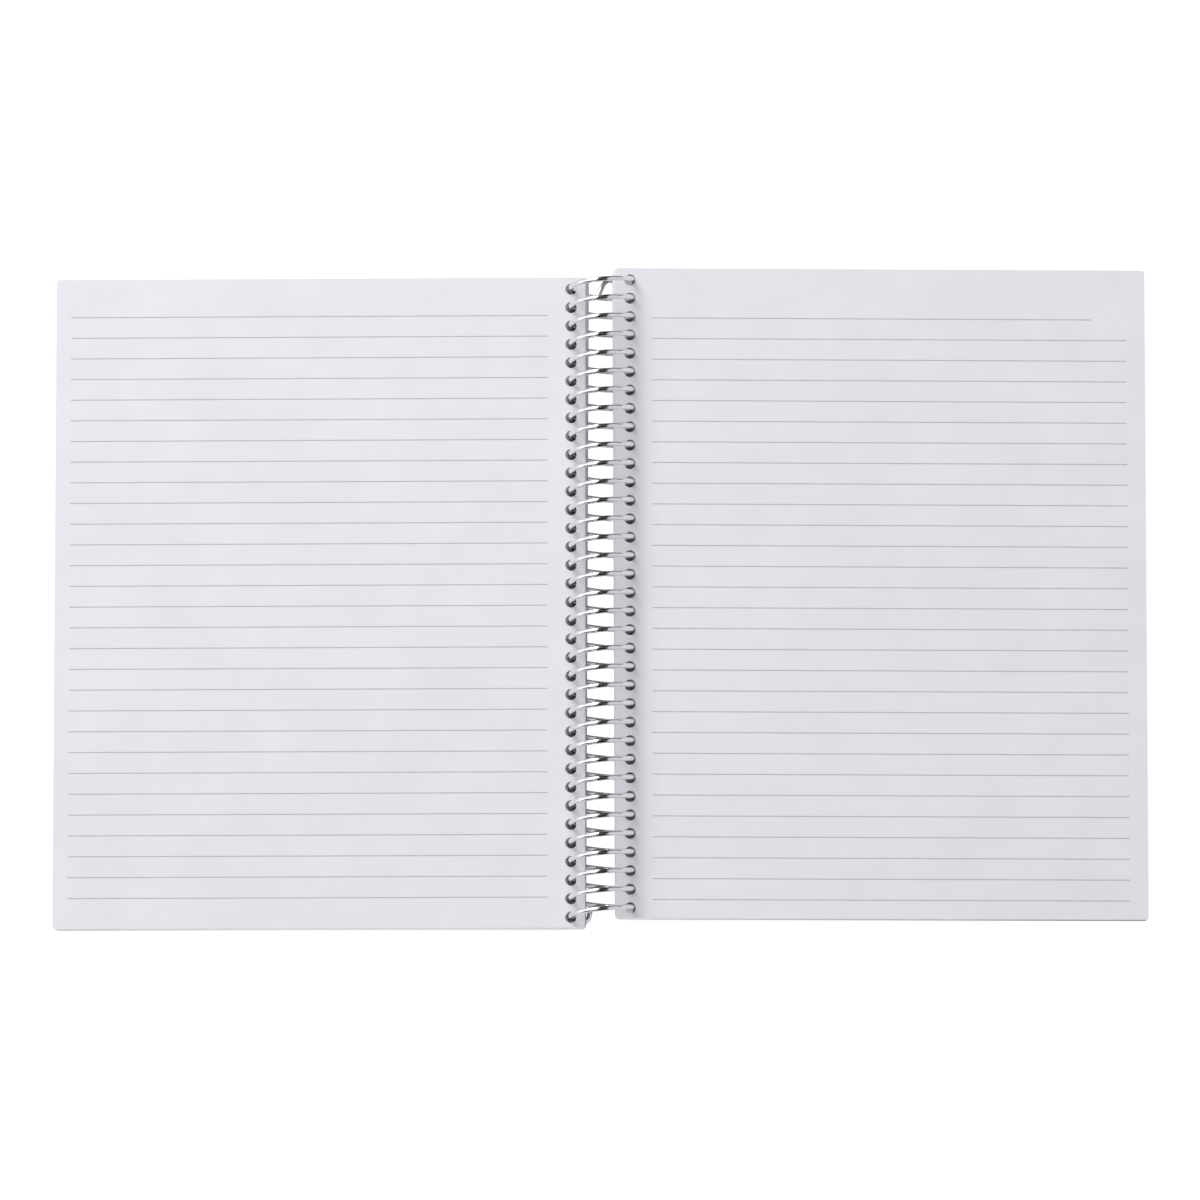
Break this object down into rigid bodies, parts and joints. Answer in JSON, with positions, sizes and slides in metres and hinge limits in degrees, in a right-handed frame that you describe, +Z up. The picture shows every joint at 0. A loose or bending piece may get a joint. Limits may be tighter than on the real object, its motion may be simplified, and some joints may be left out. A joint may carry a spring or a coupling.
{
  "type": "spiral notebook",
  "caption": "Open spiral notebook: two stacks of ruled leaves and two covers that swing about a single wire coil.",
  "frame": {"origin": "on the table, under the coil's axis, at the middle of the open book's length and width", "axes": "+Y along the coil towards the top of the pages, +X towards the right page, +Z up"},
  "size_m": [0.373, 0.2266, 0.0225],
  "materials": {
    "coil_wire": "bright plated steel wire",
    "page_paper": "smooth cool white writing paper with grey ruled lines",
    "cover_card": "plain grey laminated pressed card"
  },
  "bodies": {
    "back_half": {"back_cover": "cover_card", "right_pages": "page_paper"},
    "front_half": {"front_cover": "cover_card"},
    "front_leaves": {"left_pages": "page_paper"},
    "coil": {"spiral_coil": "coil_wire"}
  },
  "joints": [
    {"name": "cover_swing", "type": "hinge", "parent": "back_half", "child": "front_half", "pos_m": [0, 0, 0.01128], "axis": [0, 1, 0], "range_deg": [0, 183.3]},
    {"name": "coil_turn", "type": "hinge", "parent": "back_half", "child": "coil", "pos_m": [0, 0, 0.01128], "axis": [0, 1, 0], "range_deg": [0, 51.4]},
    {"name": "leaves_shift", "type": "slide", "parent": "front_half", "child": "front_leaves", "axis": [0, 1, 0], "range_m": [0, 0.00272]}
  ],
  "couplings": [
    {"joint": "coil_turn", "follows": "cover_swing", "ratio": 0.28},
    {"joint": "leaves_shift", "follows": "cover_swing", "m_per_rad": 0.000844}
  ]
}
